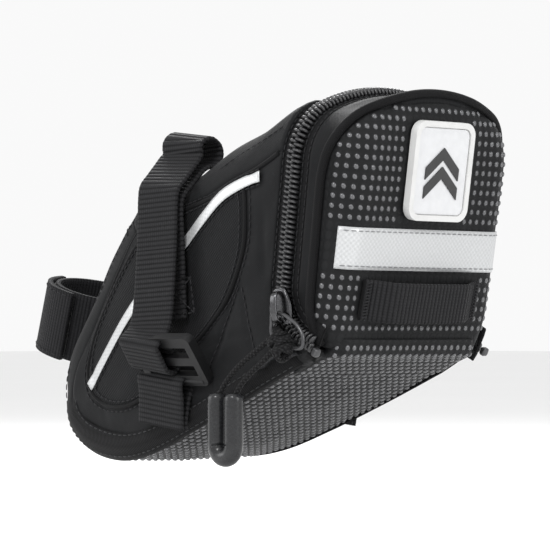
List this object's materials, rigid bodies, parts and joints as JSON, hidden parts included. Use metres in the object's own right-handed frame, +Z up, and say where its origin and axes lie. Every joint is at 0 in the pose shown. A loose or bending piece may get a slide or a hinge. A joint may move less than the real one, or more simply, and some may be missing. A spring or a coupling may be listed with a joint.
{
  "type": "saddle bag",
  "caption": "Wedge-shaped zipped saddle bag with a textured rear lid, reflective trim, webbing straps for the saddle rails and a strap for the seatpost.",
  "frame": {"origin": "midway between the centres of the two saddle rails, where the rail straps cross them", "axes": "+X to the rear of the bicycle, along the rails; +Y to the bicycle's right; +Z up"},
  "size_m": [0.1742, 0.0924, 0.1118],
  "materials": {
    "smooth_fabric": "smooth coated weave",
    "textured_fabric": "coated weave with raised pips",
    "ribbed_fabric": "ribbed weave",
    "piping": "matt",
    "reflective": "retroreflective silver",
    "grosgrain": "ribbed",
    "foam_board": "closed-cell foam",
    "zip_tape": "woven tape",
    "zip_teeth": "moulded",
    "zip_metal": "black nickel",
    "badge_rubber": "moulded",
    "badge_plate": "satin",
    "badge_mark": "printed",
    "cord": "braided",
    "grip_rubber": "moulded",
    "buckle_plastic": "moulded",
    "hook_and_loop": "fuzzy",
    "webbing": "ribbed webbing"
  },
  "bodies": {
    "bag": {"left_side_panel": "smooth_fabric", "right_side_panel": "smooth_fabric", "left_inset_panel": "ribbed_fabric", "right_inset_panel": "ribbed_fabric", "left_inset_piping": "piping", "right_inset_piping": "piping", "left_reflector": "reflective", "right_reflector": "reflective", "roof_panel": "smooth_fabric", "nose_panel": "smooth_fabric", "bottom_panel": "textured_fabric", "left_seam_binding": "grosgrain", "right_seam_binding": "grosgrain", "nose_board": "foam_board", "bottom_board": "foam_board", "body_zip_tape": "zip_tape", "body_zip_teeth": "zip_teeth", "zip_stops": "zip_metal", "hinge_strip": "grosgrain", "left_rail_strap": "webbing", "right_rail_strap": "webbing", "left_strap_patch": "webbing", "right_strap_patch": "webbing", "left_buckle_tab": "webbing", "right_buckle_tab": "webbing", "seatpost_strap": "webbing", "strap_loop_patch": "hook_and_loop"},
    "lid": {"rear_panel": "textured_fabric", "lid_gusset": "smooth_fabric", "lid_piping": "piping", "lid_zip_tape": "zip_tape", "lid_zip_teeth": "zip_teeth", "lid_board": "foam_board", "reflective_band": "reflective", "light_loop": "webbing", "badge": "badge_rubber", "badge_plate": "badge_plate", "badge_mark": "badge_mark"},
    "slider": {"slider_body": "zip_metal", "slider_bail": "zip_metal"},
    "pull": {"pull_ring": "zip_metal", "pull_cord": "cord", "pull_knot": "cord", "pull_grip": "grip_rubber"},
    "left_buckle": {"left_buckle": "buckle_plastic"},
    "right_buckle": {"right_buckle": "buckle_plastic"},
    "strap_flap": {"strap_flap": "hook_and_loop"}
  },
  "joints": [
    {"name": "lid_hinge", "type": "hinge", "parent": "bag", "child": "lid", "pos_m": [0.0673, 0, -0.06317], "axis": [0, 1, 0], "range_deg": [0, 100]},
    {"name": "zip_slide", "type": "slide", "parent": "bag", "child": "slider", "axis": [0.0571, 0, 0.9984], "range_m": [0, 0.03]},
    {"name": "pull_swing", "type": "hinge", "parent": "slider", "child": "pull", "pos_m": [0.05455, -0.0396, -0.04972], "axis": [-0.9925, 0, 0.1219], "range_deg": [0, 120]},
    {"name": "left_buckle_tilt", "type": "hinge", "parent": "bag", "child": "left_buckle", "pos_m": [0.01, -0.036, -0.069], "axis": [1, 0, 0], "range_deg": [0, 40]},
    {"name": "right_buckle_tilt", "type": "hinge", "parent": "bag", "child": "right_buckle", "pos_m": [0.01, 0.036, -0.069], "axis": [-1, 0, 0], "range_deg": [0, 40]},
    {"name": "strap_peel", "type": "hinge", "parent": "bag", "child": "strap_flap", "pos_m": [-0.08573, -0.00237, -0.04735], "axis": [-0.2756, 0, -0.9613], "range_deg": [0, 110]}
  ]
}
